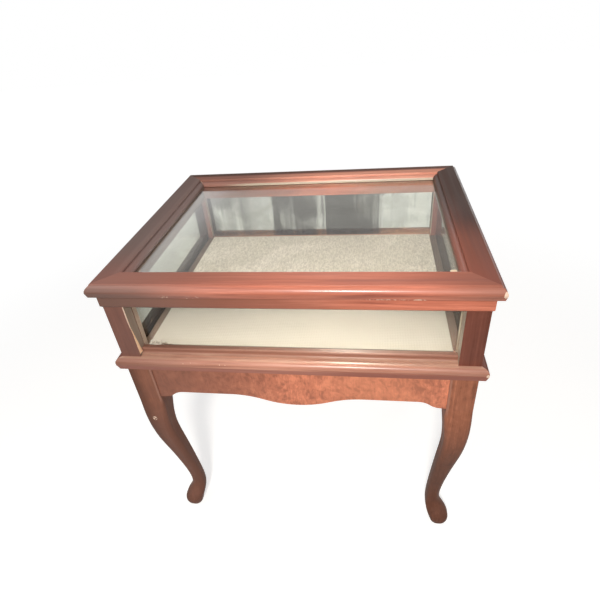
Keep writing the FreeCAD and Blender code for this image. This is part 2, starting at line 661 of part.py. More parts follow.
def hingeLeaf(label, hand, up):
    """A butt hinge leaf drawn about its pin. up is 1 for the lid's, -1 for the case's."""
    leaf = newBody(label)
    near, far = "%d * lid_gap / 2" % up, "%d * (lid_gap / 2 + leaf_thick)" % up
    low, high = (near, far) if up > 0 else (far, near)
    plate = newSketch(leaf, "YZ_Plane", "-leaf_length / 2")
    rectangle(plate, "-(pin_out + leaf_reach)", "-(knuckle_radius + fit_gap)", low, high)
    pad(leaf, plate, "leaf_length")
    if up > 0:
        spans = [("knuckle_play - leaf_length / 6", "leaf_length / 3 - 2 * knuckle_play")]
    else:
        spans = [("-leaf_length / 2", "leaf_length / 3 - knuckle_play"),
                 ("leaf_length / 6 + knuckle_play", "leaf_length / 3 - knuckle_play")]
    for start, length in spans:
        tongue = newSketch(leaf, "YZ_Plane", start)
        rectangle(tongue, "-(knuckle_radius + 2 * fit_gap)", "-(pin_radius + fit_gap)", low, high)
        pad(leaf, tongue, length)
        barrel = newSketch(leaf, "YZ_Plane", start)
        circle(barrel, "0", "0", "knuckle_radius")
        pad(leaf, barrel, length)
    bore = newSketch(leaf, "YZ_Plane", "-leaf_length / 2")
    circle(bore, "0", "0", "pin_radius + pin_play")
    pocket(leaf, bore, "leaf_length", True)
    for step in (-1, 0, 1):
        sink = newSketch(leaf, "XZ_Plane", "pin_out + leaf_hole_in")
        bind(sink, ".AttachmentOffset.Base.x", "%d * leaf_hole_pitch" % step)
        head, shank = "leaf_screw_head + fit_gap", "leaf_hole_radius"
        slope = [("0", near), (head, near), (shank, far), ("0", far)]
        outline(sink, slope if up > 0 else slope[::-1])
        cut = leaf.newObject("PartDesign::Groove", leaf.Name + "_sink")
        cut.Profile = sink
        cut.ReferenceAxis = (sink, ["V_Axis"])
        cut.Angle = 360
        pockets.append(cut)
    spot(leaf, "%s * hinge_along" % hand, "pin_y", "pin_z")


for name, hand in (("left", "-1"), ("right", "1")):
    hingeLeaf("hinge_leaf_lid_" + name, hand, 1)
    hingeLeaf("hinge_leaf_case_" + name, hand, -1)
    pin = newBody("hinge_pin_" + name)
    profile = newSketch(pin, "XY_Plane")
    shoulder = "leaf_length / 2 + knuckle_play"
    end = shoulder + " + pin_head_length"
    outline(profile, [("-(%s)" % end, "0"), (end, "0"), (end, "pin_head_radius"),
                      (shoulder, "pin_head_radius"), (shoulder, "pin_radius"),
                      ("-(%s)" % shoulder, "pin_radius"), ("-(%s)" % shoulder, "pin_head_radius"),
                      ("-(%s)" % end, "pin_head_radius")])
    turned = pin.newObject("PartDesign::Revolution", pin.Name + "_turned")
    turned.Profile = profile
    turned.ReferenceAxis = (profile, ["H_Axis"])
    turned.Angle = 360
    spot(pin, "%s * hinge_along" % hand, "pin_y", "pin_z")

# ---- fasteners and felt dots, each kind a group of separate solids -------------------


def group(label, solids):
    """Identical small pieces in one node: plain solids, placed one by one."""
    item = doc.addObject("Part::Feature", label)
    item.Label = label
    item.Shape = Part.makeCompound(solids)
    parts.append(item)


def screw(radius, headRadius, headDepth, length, sunk):
    """Wood screw that points down, its head sunk below z = 0 or standing on it."""
    top = 0 if sunk else headDepth
    start = -headDepth if sunk else 0
    down = Vector(0, 0, -1)
    shank = Part.makeCylinder(radius, length - radius + start, Vector(0, 0, start), down)
    point = Part.makeCone(radius, radius / 5, radius, Vector(0, 0, radius - length), down)
    if sunk:
        head = Part.makeCone(headRadius, radius, headDepth, Vector(), down)
    else:
        head = Part.makeCone(headRadius, headRadius * 0.7, headDepth)
    slot = Part.makeBox(2 * headRadius, headRadius / 4, headDepth / 3,
                        Vector(-headRadius, -headRadius / 8, top - headDepth / 3))
    return head.fuse([shank, point]).removeSplitter().cut(slot)


def placed(solid, across, deep, up, rotation=Rotation()):
    copy = solid.copy()
    copy.Placement = Placement(Vector(across, deep, up), rotation)
    return copy


flip = Rotation(Vector(1, 0, 0), 180)
leafScrew = screw(size("leaf_screw_radius"), size("leaf_screw_head"), size("leaf_thick"),
                  size("leaf_screw_length"), True)
leafPlaces = [(hand * size("hinge_along") + step * size("leaf_hole_pitch"))
              for hand in (-1, 1) for step in (-1, 0, 1)]
leafDeep = size("frame_depth / 2 - leaf_hole_in")
group("hinge_screws_lid",
      [placed(leafScrew, across, leafDeep, size("lid_bottom"), flip) for across in leafPlaces])
group("hinge_screws_case",
      [placed(leafScrew, across, leafDeep, size("rail_top")) for across in leafPlaces])

baseScrew = screw(size("base_screw_radius"), size("2 * base_screw_radius"),
                  size("base_screw_radius"), size("corner_block_height + base_screw_depth"),
                  False)
boltLength = size("(block_end - leg_block - leg_block + block_seat) / sqrt(2) + bolt_depth")
bolt = Part.makeCylinder(size("bolt_radius"), boltLength, Vector(), Vector(0, 0, -1))
rim = [Vector(size("bolt_head_radius"), 0, 0)]
rim = [Rotation(Vector(0, 0, 1), 60 * turn).multVec(rim[0]) for turn in range(7)]
bolt = bolt.fuse(Part.Face(Part.makePolygon(rim)).extrude(Vector(0, 0, size("bolt_head_thick"))))

screwSolids, boltSolids = [], []
for corner, angle in corners:
    outX = size("case_width / 2") * (1 if "right" in corner else -1)
    outY = size("case_depth / 2") * (1 if "back" in corner else -1)
    turn = Rotation(Vector(0, 0, 1), angle)
    along, inwards = size("base_screw_along"), size("base_screw_in")
    for local in (Vector(along, inwards, 0), Vector(inwards, along, 0)):
        spotAt = turn.multVec(local) + Vector(outX, outY, size("leg_top - corner_block_height"))
        screwSolids.append(placed(baseScrew, spotAt.x, spotAt.y, spotAt.z, flip))
    middle = size("(block_end + block_seat) / 2")
    spotAt = turn.multVec(Vector(middle, middle, 0)) + Vector(outX, outY, size("bolt_height"))
    outwards = Rotation(Vector(0, 0, 1), turn.multVec(Vector(1, 1, 0)))
    boltSolids.append(placed(bolt, spotAt.x, spotAt.y, spotAt.z, outwards))
group("base_screws", screwSolids)
group("leg_bolts", boltSolids)

dotX, dotY = size("dot_along"), size("frame_depth / 2 - dot_in")
group("lid_dots", [
    Part.makeCylinder(size("dot_radius"), size("lid_gap"),
                      Vector(across, deep, size("rail_top")))
    for across in (-dotX, dotX) for deep in (-dotY, dotY)])

# ---- checks and export ----------------------------------------------------------------
doc.recompute()
for item in doc.Objects:
    if "Invalid" in item.State or "Error" in item.State:
        raise RuntimeError("%s did not compute: %s" % (item.Name, item.State))
for feature in pockets:
    before = feature.BaseFeature.Shape.Volume
    if feature.Shape.Volume > before - 1e-3:
        raise RuntimeError("%s takes nothing away" % feature.Name)
for item in parts:
    if item.Shape.isNull() or not item.Shape.isValid() or not item.Shape.Solids:
        raise RuntimeError("%s has no sound shape" % item.Label)
    item.Shape.exportStep("parts/%s.step" % item.Label)
print("%d sub-parts, %d solids" % (len(parts), sum(len(item.Shape.Solids) for item in parts)))
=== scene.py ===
import math
import bpy
from mathutils import Matrix, Vector
from mathutils import noise as ripple


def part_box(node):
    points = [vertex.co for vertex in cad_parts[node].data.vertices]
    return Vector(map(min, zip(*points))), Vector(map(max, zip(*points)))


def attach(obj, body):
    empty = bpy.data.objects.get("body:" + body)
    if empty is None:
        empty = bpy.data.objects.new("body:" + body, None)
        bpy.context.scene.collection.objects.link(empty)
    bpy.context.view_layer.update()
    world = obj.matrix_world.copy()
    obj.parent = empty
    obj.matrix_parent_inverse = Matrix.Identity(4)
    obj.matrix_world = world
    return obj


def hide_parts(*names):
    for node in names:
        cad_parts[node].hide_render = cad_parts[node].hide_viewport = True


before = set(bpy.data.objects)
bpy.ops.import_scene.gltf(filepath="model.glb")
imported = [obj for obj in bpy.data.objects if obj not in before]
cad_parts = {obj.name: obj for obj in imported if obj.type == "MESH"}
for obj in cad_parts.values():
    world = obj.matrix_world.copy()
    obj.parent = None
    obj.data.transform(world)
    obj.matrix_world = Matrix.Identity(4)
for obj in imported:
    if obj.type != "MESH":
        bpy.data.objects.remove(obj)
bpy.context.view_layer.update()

mm = 0.001
print("frame loaded:", len(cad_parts), "nodes")


# small node helpers

def plug(tree, socket, value):
    if isinstance(value, bpy.types.NodeSocket):
        tree.links.new(value, socket)
    else:
        socket.default_value = value


def addNode(tree, kind, inputs=None, **settings):
    node = tree.nodes.new(kind)
    for name, value in settings.items():
        setattr(node, name, value)
    for name, value in (inputs or {}).items():
        plug(tree, node.inputs[name], value)
    return node


def calc(tree, operation, first, second=0.0, clamp=False):
    node = addNode(tree, "ShaderNodeMath", {0: first, 1: second},
                   operation=operation, use_clamp=clamp)
    return node.outputs[0]


def plus(tree, first, second, clamp=False):
    return calc(tree, "ADD", first, second, clamp)


def minus(tree, first, second):
    return calc(tree, "SUBTRACT", first, second)


def times(tree, first, second, clamp=False):
    return calc(tree, "MULTIPLY", first, second, clamp)


def addShares(tree, layers, shares):
    total = None
    for name, share in shares.items():
        part = times(tree, layers[name], share)
        total = part if total is None else plus(tree, total, part)
    return total


def vectorCalc(tree, operation, *values):
    return addNode(tree, "ShaderNodeVectorMath", dict(enumerate(values)),
                   operation=operation).outputs


def axesOf(tree, vector):
    return addNode(tree, "ShaderNodeSeparateXYZ", {"Vector": vector}).outputs


def blendColour(tree, factor, first, second, mode="MIX"):
    node = addNode(tree, "ShaderNodeMix", {0: factor, 6: first, 7: second},
                   data_type="RGBA", blend_type=mode)
    return node.outputs[2]


def spread(tree, value, low, high, toLow=0.0, toHigh=1.0):
    node = addNode(tree, "ShaderNodeMapRange", {
        "Value": value, "From Min": low, "From Max": high, "To Min": toLow, "To Max": toHigh},
        interpolation_type="SMOOTHSTEP")
    return node.outputs[0]


def noise(tree, vector, scale, detail=3.0, roughness=0.55, distortion=0.0):
    node = addNode(tree, "ShaderNodeTexNoise", {
        "Vector": vector, "Scale": scale, "Detail": detail, "Roughness": roughness,
        "Distortion": distortion})
    return node.outputs["Fac"]


# noise with its own scale along each axis
def drawnNoise(tree, vector, scales, detail, roughness=0.55, distortion=0.0, turn=(0, 0, 0)):
    drawn = addNode(tree, "ShaderNodeMapping", {
        "Vector": vector, "Scale": scales, "Rotation": turn})
    return noise(tree, drawn.outputs[0], 1.0, detail, roughness, distortion)


def newGroup(name, inputs, outputs):
    group = bpy.data.node_groups.new(name, "ShaderNodeTree")
    kinds = {"value": "NodeSocketFloat", "colour": "NodeSocketColor",
             "vector": "NodeSocketVector"}
    for label, kind in inputs.items():
        group.interface.new_socket(label, in_out="INPUT", socket_type=kinds[kind])
    for label, kind in outputs.items():
        group.interface.new_socket(label, in_out="OUTPUT", socket_type=kinds[kind])
    given = group.nodes.new("NodeGroupInput").outputs
    return group, given, group.nodes.new("NodeGroupOutput").inputs


def placeGroup(tree, group, inputs):
    node = tree.nodes.new("ShaderNodeGroup")
    node.node_tree = group
    for name, value in inputs.items():
        plug(tree, node.inputs[name], value)
    return node.outputs


def newMaterial(name):
    material = bpy.data.materials.new(name)
    material.use_nodes = True
    tree = material.node_tree
    surface = tree.nodes["Principled BSDF"]
    coords = addNode(tree, "ShaderNodeTexCoord").outputs["Object"]
    return material, tree, surface, coords


def setSurface(tree, surface, values):
    for name, value in values.items():
        plug(tree, surface.inputs[name], value)


def emboss(tree, surface, height, strength, depth):
    bump = addNode(tree, "ShaderNodeBump", {
        "Strength": strength, "Distance": depth, "Height": height})
    plug(tree, surface.inputs["Normal"], bump.outputs[0])


def outputOf(tree):
    return tree.nodes["Material Output"].inputs["Surface"]


def srgb(red, green, blue):
    def linear(channel):
        channel /= 255
        return channel / 12.92 if channel <= 0.04045 else ((channel + 0.055) / 1.055) ** 2.4
    return (linear(red), linear(green), linear(blue), 1.0)


# timber: straight grain along the vector's X, and a mottled figure

timber = {
    # layers of noise: scales, detail, roughness, distortion
    "straight": {
        "wander": ((5, 26, 26), 2.0, 0.55, 0.0),
        "streaks": ((6, 240, 240), 5.0, 0.62, 0.5),
        "fibres": ((24, 1100, 1100), 3.0, 0.6, 0.0),
        "bands": ((2.2, 60, 60), 3.0, 0.55, 1.2),
        "pores": ((60, 1500, 1500), 2.0, 0.5, 0.0),
        "broad": ((4, 11, 11), 2.0, 0.55, 0.0),
    },
    "mottled": {
        "flame": ((58, 58, 58), 3.0, 0.5, 0.5),
        "strokes": ((90, 190, 190), 2.0, 0.5, 0.4),
    },
    "warp": {"Scale": 14.0, "Detail": 2.0},
    "warpReach": (0.03, 0.03, 0.03),
    # shares of the layers in each grain
    "plain": {"streaks": 0.4, "bands": 0.3, "wander": 0.15, "fibres": 0.15},
    "figured": {"flame": 0.5, "strokes": 0.38, "fibres": 0.12},
    "contrast": (0.36, 0.64),
    "shade": (0.3, 0.7, 0.82, 1.12),
    "poreSpread": (0.56, 0.7),
    "poreTone": 0.3,
    "relief": 0.5,
    "dullness": (0.7, 1.3),
}


def makeTimberGroup():
    tree, given, result = newGroup("timber grain", {
        "Vector": "vector", "Light": "colour", "Middle": "colour", "Dark": "colour",
        "Figure": "value"},
        {"Color": "colour", "Height": "value", "Dullness": "value"})
    vector = given["Vector"]
    layers = {name: drawnNoise(tree, vector, *layer)
              for name, layer in timber["straight"].items()}
    warp = addNode(tree, "ShaderNodeTexNoise", {"Vector": vector, **timber["warp"]})
    warped = vectorCalc(tree, "MULTIPLY_ADD", warp.outputs["Color"], timber["warpReach"],
                        vector)[0]
    for name, layer in timber["mottled"].items():
        layers[name] = drawnNoise(tree, warped, *layer)
    mix = addNode(tree, "ShaderNodeMix", {
        "Factor": given["Figure"], "A": addShares(tree, layers, timber["plain"]),
        "B": addShares(tree, layers, timber["figured"])}, data_type="FLOAT").outputs[0]
    tone = spread(tree, mix, *timber["contrast"])
    colour = blendColour(tree, spread(tree, tone, 0.0, 0.5), given["Dark"], given["Middle"])
    colour = blendColour(tree, spread(tree, tone, 0.5, 1.0), colour, given["Light"])
    shade = spread(tree, layers["broad"], *timber["shade"])
    grey = addNode(tree, "ShaderNodeCombineColor", {"Red": shade, "Green": shade, "Blue": shade})
    colour = blendColour(tree, 1.0, colour, grey.outputs[0], "MULTIPLY")
    pores = spread(tree, layers["pores"], *timber["poreSpread"])
    colour = blendColour(tree, times(tree, pores, timber["poreTone"]), colour, given["Dark"])
    height = minus(tree, times(tree, layers["streaks"], timber["relief"]),
                   times(tree, pores, timber["relief"]))
    roughness = spread(tree, plus(tree, layers["bands"], layers["broad"]), *timber["dullness"])
    plug(tree, result["Color"], colour)
    plug(tree, result["Height"], height)
    plug(tree, result["Dullness"], roughness)
    return tree


# a patch round a point, for worn chips, painted glints and the lining's corner: ragged at the
# rim, and broken into flakes where Fill is low

patch = {"flakes": (3.0, 0.55), "ragged": 0.5, "rim": (1.3, 1.15), "limit": 0.72,
         "fill": 0.7, "sharpness": 22.0}


def makePatchGroup():
    tree, given, result = newGroup("ragged patch", {
        "Vector": "vector", "Middle": "vector", "Reach": "vector", "Flake": "value",
        "Fill": "value"}, {"Mask": "value"})
    away = vectorCalc(tree, "SUBTRACT", given["Vector"], given["Middle"])[0]
    scaled = vectorCalc(tree, "DIVIDE", away, given["Reach"])[0]
    length = vectorCalc(tree, "LENGTH", scaled)["Value"]
    flakes = noise(tree, given["Vector"], given["Flake"], *patch["flakes"])
    distance = plus(tree, length, times(tree, flakes, patch["ragged"]))
    limit = minus(tree, patch["limit"], times(tree, given["Fill"], patch["fill"]))
    broken = times(tree, minus(tree, flakes, limit), patch["sharpness"], True)
    plug(tree, result["Mask"], times(tree, spread(tree, distance, *patch["rim"]), broken))
    return tree


# dirt in the lacquer, as fine dark specks

specks = {"grain": (160.0, 4.0, 0.65), "limit": 0.74, "sharpness": 30.0}


def makeSpeckGroup():
    tree, given, result = newGroup("lacquer specks", {"Vector": "vector"}, {"Mask": "value"})
    grain = noise(tree, given["Vector"], *specks["grain"])
    mask = times(tree, minus(tree, grain, specks["limit"]), specks["sharpness"], True)
    plug(tree, result["Mask"], mask)
    return tree


timberGroup = makeTimberGroup()
patchGroup = makePatchGroup()
speckGroup = makeSpeckGroup()

# stained woods: light, middling and dark tone of each stain; the back and base stains are lighter
# copies of the rail stain as painted highlight, the side stain a darker copy as painted shade

stains = {
    "rail": (srgb(222, 137, 111), srgb(198, 116, 91), srgb(154, 84, 67)),
    # painted highlight: a lighter copy of the rail stain
    "back": (srgb(248, 180, 154), srgb(231, 158, 132), srgb(200, 126, 104)),
    # painted highlight: paler for the bright base ledge
    "base": (srgb(228, 167, 143), srgb(208, 145, 121), srgb(174, 115, 94)),
    "sill": (srgb(190, 138, 116), srgb(178, 125, 103), srgb(158, 106, 87)),
    # painted shade: a darker copy of the rail stain for the pieces running front to back
    "side": (srgb(86, 48, 37), srgb(74, 41, 31), srgb(58, 32, 25)),
    "post": (srgb(134, 80, 64), srgb(120, 69, 55), srgb(100, 55, 43)),
    "leg": (srgb(180, 114, 86), srgb(156, 97, 72), srgb(122, 75, 56)),
    "apron": (srgb(228, 144, 110), srgb(206, 126, 96), srgb(172, 104, 80)),
}

# tones that a stain is blended towards: raw wood for chips and painted glints, dust for dust and
# painted sheen, putty for putty, and the rest for painted shade, painted sheen and painted light,
# as noted at each wood
tones = {
    "rawAndGlint": srgb(234, 204, 182),
    "dustAndSheen": srgb(216, 178, 154),
    "putty": srgb(196, 186, 164),
    "brown": srgb(124, 84, 70),
    "umber": srgb(70, 44, 34),
    "ruddy": srgb(140, 82, 68),
    "greyShade": srgb(136, 113, 105),
    "russet": srgb(128, 86, 74),
    "walnut": srgb(106, 76, 66),
    "drab": srgb(128, 100, 84),
    "brick": srgb(160, 88, 72),
    "underShade": srgb(150, 80, 62),
    "paleSheen": srgb(140, 124, 108),
    # the tone named rubbed is a painted grey sheen, not wear
    "rubbed": srgb(118, 92, 84),
    "farShade": srgb(66, 48, 40),
    "ash": srgb(138, 120, 114),
    "greySheen": srgb(124, 98, 90),
    "buff": srgb(176, 130, 112),
    "amber": srgb(246, 160, 120),
    "railMiddle": stains["rail"][1],
    "railDark": stains["rail"][2],
    "postMiddle": stains["post"][1],
}
wood = {
    "gloss": 0.38,
    "dull": 0.5,
    "specular": 0.22,
    "coat": 0.3,
    "coatRoughness": 0.26,
    "bump": 0.12,
    "bumpDepth": 0.6 * mm,
    "speckShare": 0.3,
    "rubbedDull": 0.22,
    "bareDull": 0.4,
    "dustGrain": ((9, 60, 60), 4.0, 0.6),
    "dustPatches": (0.4, 0.62, 0.35, 1.0),
}
turns = {"x": (0, 0, 0), "y": (0, 0, math.radians(90)), "z": (0, math.radians(90), 0)}

# chipped or rubbed places, and painted glints: middle and reach in millimetres, flake, fill
chipsAndGlints = {
    "rail": [
        ((302.5, -242.5, 594.5), (3.2, 4, 5.2), 160, 1.0),
        ((-178, -243, 588), (9, 6, 3.2), 420, 0.22),
        ((-134, -243, 587), (15, 6, 3.2), 420, 0.2),
        ((152, -241, 584.8), (44, 7, 1.8), 420, 0.32),
        ((192, -242, 584.8), (9, 7, 2.2), 300, 0.5),
    ],
    "base": [
        ((301, -241.5, 446), (2.4, 3.5, 3.6), 200, 1.0),
        ((-150, -242, 452), (60, 6, 2.5), 300, 0.1),
    ],
    # painted highlight along the back left mitre
    "back": [
        ((-262.5, 201.5, 602.5), (1.8, 1.8, 2), 300, 1.0),
        ((-259.5, 198.5, 601), (1.8, 1.8, 2), 300, 1.0),
        ((-257, 196, 599.8), (1.8, 1.8, 2), 300, 1.0),
        ((-255, 194, 597.5), (1.8, 1.8, 2), 300, 1.0),
    ],
    "leg": [((-275.3, -234, 303), (4.2, 6, 5.2), 260, 0.42)],
    # painted highlight along the inner front arris of the front left post
    "post": [((-258.6, -231.6, 540), (1.3, 1.5, 26), 500, 0.62)],
}

# the posts' inner faces, beside the glass, keep a smear of old putty, painted full on the right
# post and half on the left as painted light
putty = {"faceDepth": 0.3 * mm, "rim": 1.2 * mm, "grain": ((60, 60, 14), 4.0, 0.6),
         "smear": (0.3, 0.6, 0.55, 0.8), "across": (-0.2, 0.2, 0.5, 1.0)}


def puttyMask(tree, coords, axes):
    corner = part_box("post_front_right")[0]
    toInner = calc(tree, "ABSOLUTE", minus(tree, calc(tree, "ABSOLUTE", axes["X"]), corner.x))
    inner = calc(tree, "LESS_THAN", toInner, putty["faceDepth"])
    inside = calc(tree, "LESS_THAN", calc(tree, "ABSOLUTE", axes["Y"]),
                  abs(corner.y) - putty["rim"])
    smear = spread(tree, drawnNoise(tree, coords, *putty["grain"]), *putty["smear"])
    # full on the right post and half on the left: painted light
    lightSideShare = spread(tree, axes["X"], *putty["across"])
    return times(tree, times(tree, inner, inside), times(tree, smear, lightSideShare))


def chipAndGlintMask(tree, coords, stain):
    bare = None
    for middle, reach, flake, fill in chipsAndGlints.get(stain, []):
        mask = placeGroup(tree, patchGroup, {
            "Vector": coords, "Middle": [v * mm for v in middle],
            "Reach": [v * mm for v in reach], "Flake": flake, "Fill": fill})["Mask"]
        bare = mask if bare is None else calc(tree, "MAXIMUM", bare, mask)
    return bare


def makeWood(label, along, stain, figure=0.0, coat=wood["coat"], matt=None, dustAndSheen=None,
             puttied=False, fades=()):
    material, tree, surface, coords = newMaterial(label)
    light, middle, dark = stains[stain]
    turned = addNode(tree, "ShaderNodeMapping", {"Vector": coords, "Rotation": turns[along]})
    grain = placeGroup(tree, timberGroup, {
        "Vector": turned.outputs[0], "Light": light, "Middle": middle, "Dark": dark,
        "Figure": figure})
    colour = grain["Color"]
    axes = axesOf(tree, coords)
    places = {axis: axes[axis] for axis in "XYZ"}
    places["out"] = calc(tree, "ABSOLUTE", axes["X"])
    for axis, start, end, share, tone, *limits in fades:
        amount = spread(tree, places[axis], start, end, 0.0, share)
        for limitAxis, limitStart, limitEnd in limits:
            limit = spread(tree, places[limitAxis], limitStart, limitEnd)
            amount = times(tree, amount, limit)
        colour = blendColour(tree, amount, colour, tones[tone])
    # pale dust on top faces, partly a painted sheen
    if dustAndSheen:
        patches = spread(tree, drawnNoise(tree, coords, *wood["dustGrain"]),
                         *wood["dustPatches"])
        start, end, share = dustAndSheen
        settled = times(tree, patches, spread(tree, axes["Z"], start, end, 0.0, share))
        colour = blendColour(tree, settled, colour, tones["dustAndSheen"])
    if puttied:
        colour = blendColour(tree, puttyMask(tree, coords, axes), colour, tones["putty"])
    dirt = placeGroup(tree, speckGroup, {"Vector": coords})["Mask"]
    colour = blendColour(tree, times(tree, dirt, wood["speckShare"]), colour, dark)
    roughness = spread(tree, grain["Dullness"], 0.0, 1.0, wood["gloss"], wood["dull"])
    if matt:
        rubbed = spread(tree, axes["Z"], *matt)
        coat = times(tree, minus(tree, 1.0, rubbed), coat)
        roughness = plus(tree, roughness, times(tree, rubbed, wood["rubbedDull"]), True)
    # raw wood at the chips, and painted highlights at the glints
    bare = chipAndGlintMask(tree, coords, stain)
    if bare is not None:
        colour = blendColour(tree, bare, colour, tones["rawAndGlint"])
        coat = times(tree, minus(tree, 1.0, bare), coat)
        roughness = plus(tree, roughness, times(tree, bare, wood["bareDull"]), True)
    setSurface(tree, surface, {
        "Base Color": colour, "Roughness": roughness, "Coat Weight": coat,
        "Coat Roughness": wood["coatRoughness"], "Specular IOR Level": wood["specular"]})
    emboss(tree, surface, grain["Height"], wood["bump"], wood["bumpDepth"])
    return material


lidTop = (0.6035, 0.6058)  # heights between which the lid's gloss is rubbed off
# fades: axis (out is to either side), from, to, share, tone, then limits: axis, from, to; most of
# them are painted shade and painted light
woodKinds = {
    "rail": {
        "label": "red-brown rail wood, grain left to right", "along": "x", "stain": "rail",
        "coat": 0.8, "matt": lidTop,
        # painted shade: darker and greyer towards both ends, darker on the top face, most on its
        # left part
        "fades": [
            ("X", 0.0, -0.3, 0.78, "greyShade"),
            ("X", 0.14, 0.33, 0.7, "brown"),
            ("Z", 0.6035, 0.606, 0.45, "ruddy"),
            ("X", -0.08, -0.3, 0.5, "umber", ("Z", 0.6035, 0.6)),
        ],
    },
    "caseRail": {
        "label": "red-brown case wood, grain left to right", "along": "x", "stain": "rail",
        # painted shade: darker and greyer towards the left end
        "fades": [
            ("X", 0.24, -0.24, 0.95, "brown"),
            ("X", -0.08, -0.28, 0.5, "greyShade"),
            ("X", -0.14, -0.3, 0.3, "umber"),
        ],
    },
    # the lighter stain is a painted highlight; painted shade darkens the left end and the outer
    # part of the top face; old putty lies along the foot of the inner round
    "back": {
        "label": "back rail wood with painted highlight, grain left to right", "along": "x", "stain": "back",
        "coat": 0.8, "matt": lidTop,
        "fades": [
            ("X", 0.03, -0.17, 0.9, "russet"),
            ("Z", 0.604, 0.6056, 0.92, "umber", ("Y", 0.214, 0.224)),
            ("Z", 0.5976, 0.596, 0.85, "putty", ("Y", 0.211, 0.21), ("X", -0.22, -0.12)),
        ],
    },
    "backLip": {
        "label": "back case wood in painted shade, grain left to right", "along": "x", "stain": "rail",
        # painted shade: darker towards the left end and over the right part
        "fades": [
            ("X", 0.16, -0.2, 0.95, "walnut"),
            ("X", 0.03, 0.16, 0.75, "drab"),
        ],
    },
    "base": {
        "label": "worn red-brown base wood, grain left to right", "along": "x",
        "stain": "base", "coat": 0.6,
        # pale dust on the ledge top, partly a painted sheen
        "dustAndSheen": (0.4562, 0.457, 0.4),  # from height, to height, share
        # painted shade: darker towards both ends, and on the underside of the nose, more on its
        # right part
        "fades": [
            ("X", -0.02, -0.3, 0.75, "brown"),
            ("X", 0.14, 0.3, 0.4, "brown"),
            ("Z", 0.4462, 0.4425, 0.62, "brick"),
            ("Z", 0.4475, 0.4455, 0.6, "underShade", ("X", 0.02, 0.12)),
        ],
    },
    "sill": {
        "label": "brown sill wood, grain left to right", "along": "x", "stain": "sill",
        # pale dust in the cove at the sill's foot, partly a painted highlight
        "coat": 0.2, "dustAndSheen": (0.4612, 0.4576, 0.5),
        # painted shade: darker towards both ends, and a painted shadow along the back of the
        # front sill's top, against the glass
        "fades": [
            ("X", 0.06, -0.28, 0.8, "brown"),
            ("X", 0.14, 0.3, 0.45, "brown"),
            ("Y", -0.2187, -0.2172, 0.45, "umber", ("Y", -0.1, -0.11)),
        ],
    },
    "side": {
        "label": "red-brown wood in painted shade, grain front to back", "along": "y", "stain": "side",
        "coat": 0.12,
        # painted light: lighter towards the front, and pale grey over the inner parts above the
        # base
        "fades": [
            ("Y", -0.1, -0.25, 0.4, "railDark"),
            ("Z", 0.4566, 0.457, 0.6, "paleSheen", ("out", 0.27, 0.269)),
        ],
    },
    # painted shade darkens the right rail towards the back, painted light lightens the fronts and
    # the shaded inner edges, and the left rail takes a painted grey sheen
    "lidSide": {
        "label": "red-brown lid wood in painted shade, grain front to back", "along": "y",
        "stain": "side", "coat": 0.12, "matt": lidTop,
        "fades": [
            ("out", 0.29, 0.268, 0.3, "postMiddle"),
            ("out", 0.2665, 0.2625, 0.6, "postMiddle"),
            # painted light and grey sheen on the left rail's inner edge
            ("X", -0.275, -0.268, 0.6, "rubbed", ("X", 0.1, -0.1)),
            ("Y", -0.1, 0.1, 0.8, "farShade", ("X", -0.1, 0.1)),
            ("X", -0.1, -0.2, 0.5, "ash"),
            ("Y", -0.02, -0.12, 0.2, "railMiddle", ("X", -0.1, 0.1)),
            ("Y", -0.1, -0.25, 0.4, "railDark"),
        ],
    },
    "post": {
        "label": "dark red-brown wood, upright grain", "along": "z", "stain": "post",
        "figure": 0.15, "puttied": True,
        # painted grey sheen on the left posts
        "fades": [("X", -0.2, -0.26, 0.5, "greySheen")],
    },
    "leg": {
        "label": "red-brown leg wood", "along": "z", "stain": "leg", "figure": 0.3,
        "coat": 0.12,
        # painted shade: darker towards the floor, on the left legs and along their outer left
        # edge; painted highlight along the inner front arris
        "fades": [
            ("Z", 0.37, 0.17, 0.66, "umber"),
            ("X", -0.2, -0.24, 0.6, "brown"),
            ("X", -0.266, -0.291, 0.55, "umber"),
            ("out", 0.2545, 0.2525, 0.55, "buff", ("Y", -0.2285, -0.2305),
             ("Z", 0.335, 0.36)),
        ],
    },
    "apron": {
        "label": "figured apron veneer", "along": "z", "stain": "apron", "figure": 0.8,
        # painted shade towards the left, and a painted pool of light right of the middle
        "fades": [
            ("X", 0.06, -0.26, 0.8, "brown"),
            ("X", 0.02, 0.12, 0.3, "amber", ("X", 0.25, 0.16)),
        ],
    },
}

# unstained wood of the parts inside

innerWood = {
    "light": srgb(214, 178, 132),
    "middle": srgb(190, 150, 106),
    "dark": srgb(140, 102, 68),
    "figure": 0.1,
    "roughness": (0.6, 0.8),
    "bump": 0.3,
    "bumpDepth": 0.6 * mm,
}


def makePlainWood():
    material, tree, surface, coords = newMaterial("unstained inner wood")
    grain = placeGroup(tree, timberGroup, {
        "Vector": coords, "Light": innerWood["light"], "Middle": innerWood["middle"],
        "Dark": innerWood["dark"], "Figure": innerWood["figure"]})
    roughness = spread(tree, grain["Dullness"], 0, 1, *innerWood["roughness"])
    setSurface(tree, surface, {"Base Color": grain["Color"], "Roughness": roughness})
    emboss(tree, surface, grain["Height"], innerWood["bump"], innerWood["bumpDepth"])
    return material


# glass under a thin haze left by wiping; on the side and back panes the haze bands, blots and
# darker clear tone also paint in reflections of the surroundings

